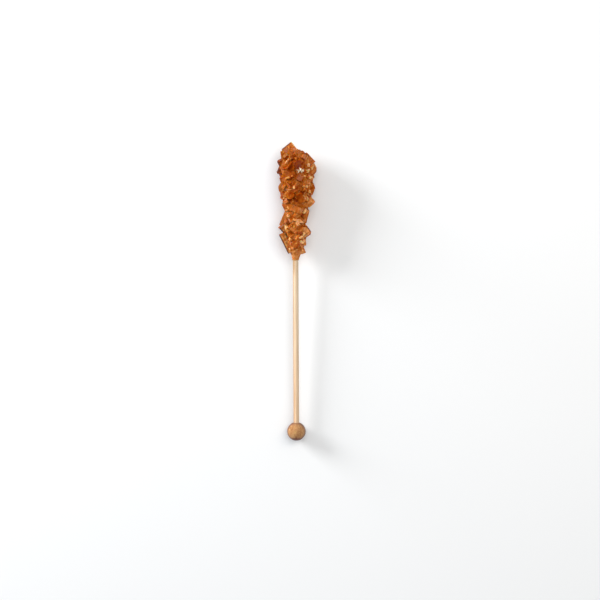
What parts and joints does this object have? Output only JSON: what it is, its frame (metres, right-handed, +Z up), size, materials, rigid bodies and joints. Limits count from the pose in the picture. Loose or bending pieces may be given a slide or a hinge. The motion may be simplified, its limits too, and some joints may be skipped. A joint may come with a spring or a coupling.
{
  "type": "rock candy stick",
  "caption": "Brown sugar crystals grown in a long cluster on the end of a thin wooden dowel, with a small turned wooden ball at the other end, for sweetening a hot drink.",
  "frame": {"origin": "on the table that the stick lies on, at the middle of its outline seen from above", "axes": "+Z up from the table, +Y from the ball to the candy, +X to the right of the side that shows"},
  "size_m": [0.0218, 0.16, 0.019],
  "materials": {
    "brown_sugar": "clear amber crystals with glossy facets",
    "birch": "bare, smooth, straight grain",
    "beech": "bare, sanded, fine flecks"
  },
  "bodies": {
    "root": {"candy": "brown_sugar", "stick": "birch", "ball": "beech"}
  },
  "joints": []
}
